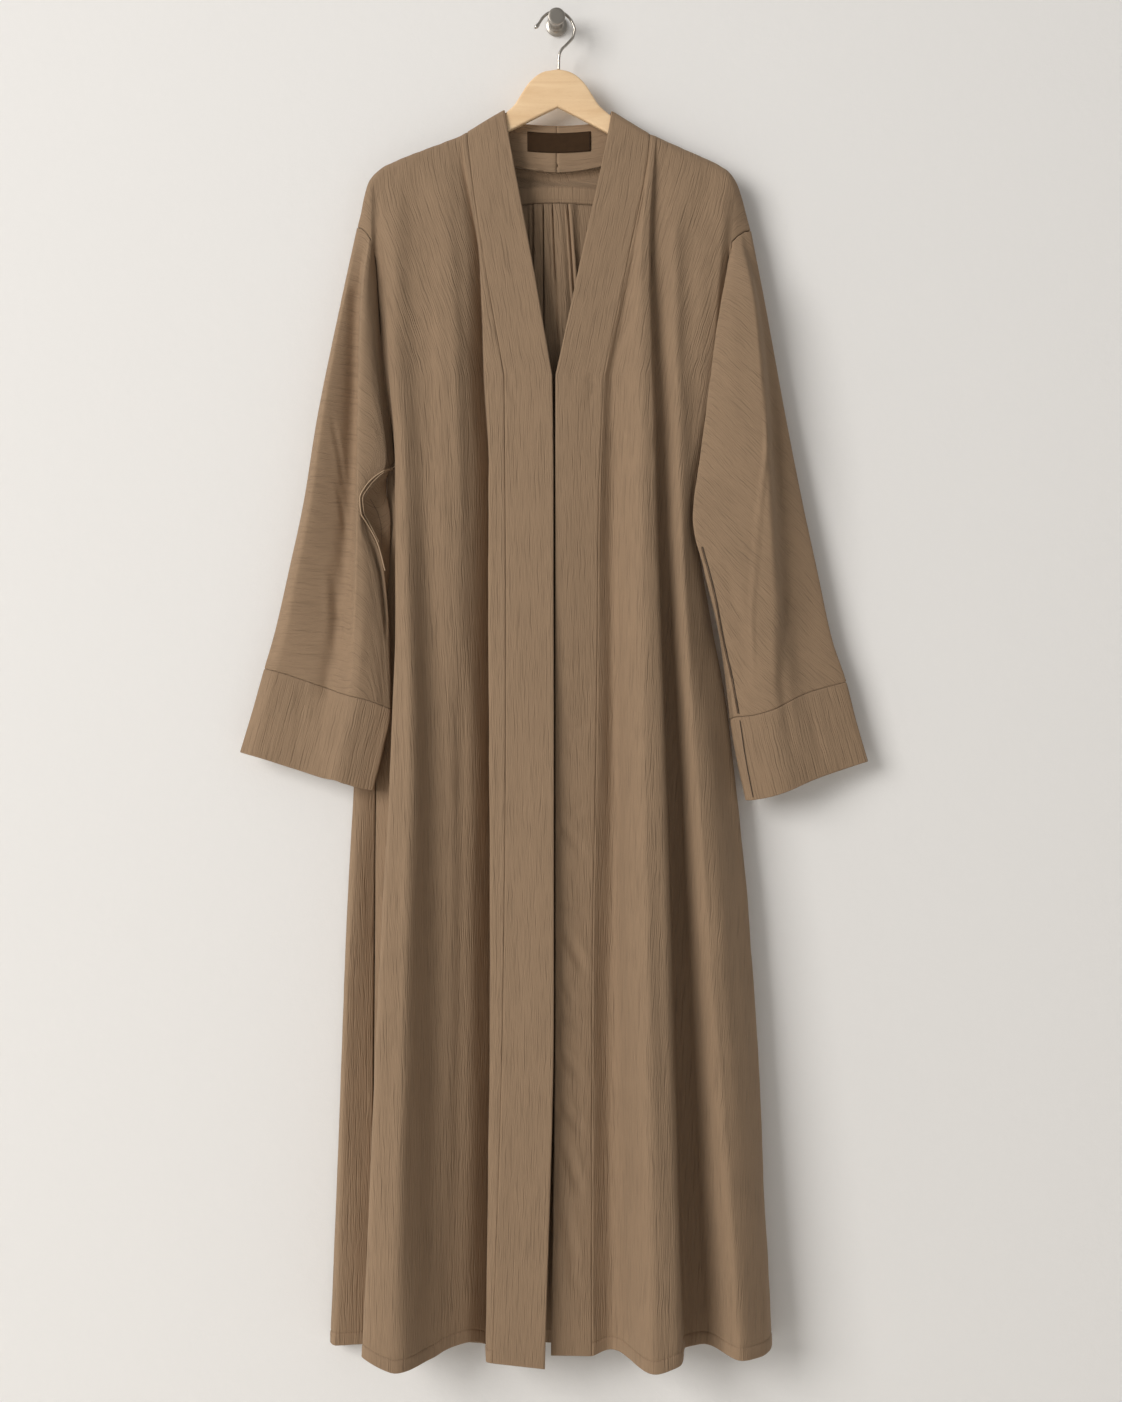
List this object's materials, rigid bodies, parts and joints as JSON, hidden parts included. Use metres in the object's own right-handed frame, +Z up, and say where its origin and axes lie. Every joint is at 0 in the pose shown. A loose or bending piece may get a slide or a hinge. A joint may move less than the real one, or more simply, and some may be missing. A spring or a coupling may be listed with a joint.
{
  "type": "kimono abaya on a hanger and wall knob",
  "caption": "Open-front kimono abaya of crinkled crepe with wide sleeves and deep cuffs, hanging on a flat wooden hanger from a round wall knob.",
  "frame": {"origin": "middle of the wall knob's base, on the wall plane", "axes": "+X to the right as the garment is looked at, +Y into the wall, +Z up; the garment hangs in front of the wall at -Y"},
  "size_m": [0.75, 0.117, 1.6079],
  "materials": {
    "crepe": "matte crinkled crepe with a faint sheen",
    "label_tape": "matte woven tape",
    "beech": "satin clear varnish",
    "hook_steel": "polished plated wire",
    "knob_nickel": "brushed nickel"
  },
  "bodies": {
    "root": {"front_right": "crepe", "front_left": "crepe", "band_right": "crepe", "band_left": "crepe", "back_yoke": "crepe", "yoke_seam_strip": "crepe", "back_panel": "crepe", "sleeve_right": "crepe", "sleeve_left": "crepe", "cuff_right": "crepe", "cuff_left": "crepe", "label": "label_tape", "hanger_body": "beech", "hanger_hook": "hook_steel", "wall_knob": "knob_nickel"}
  },
  "joints": []
}
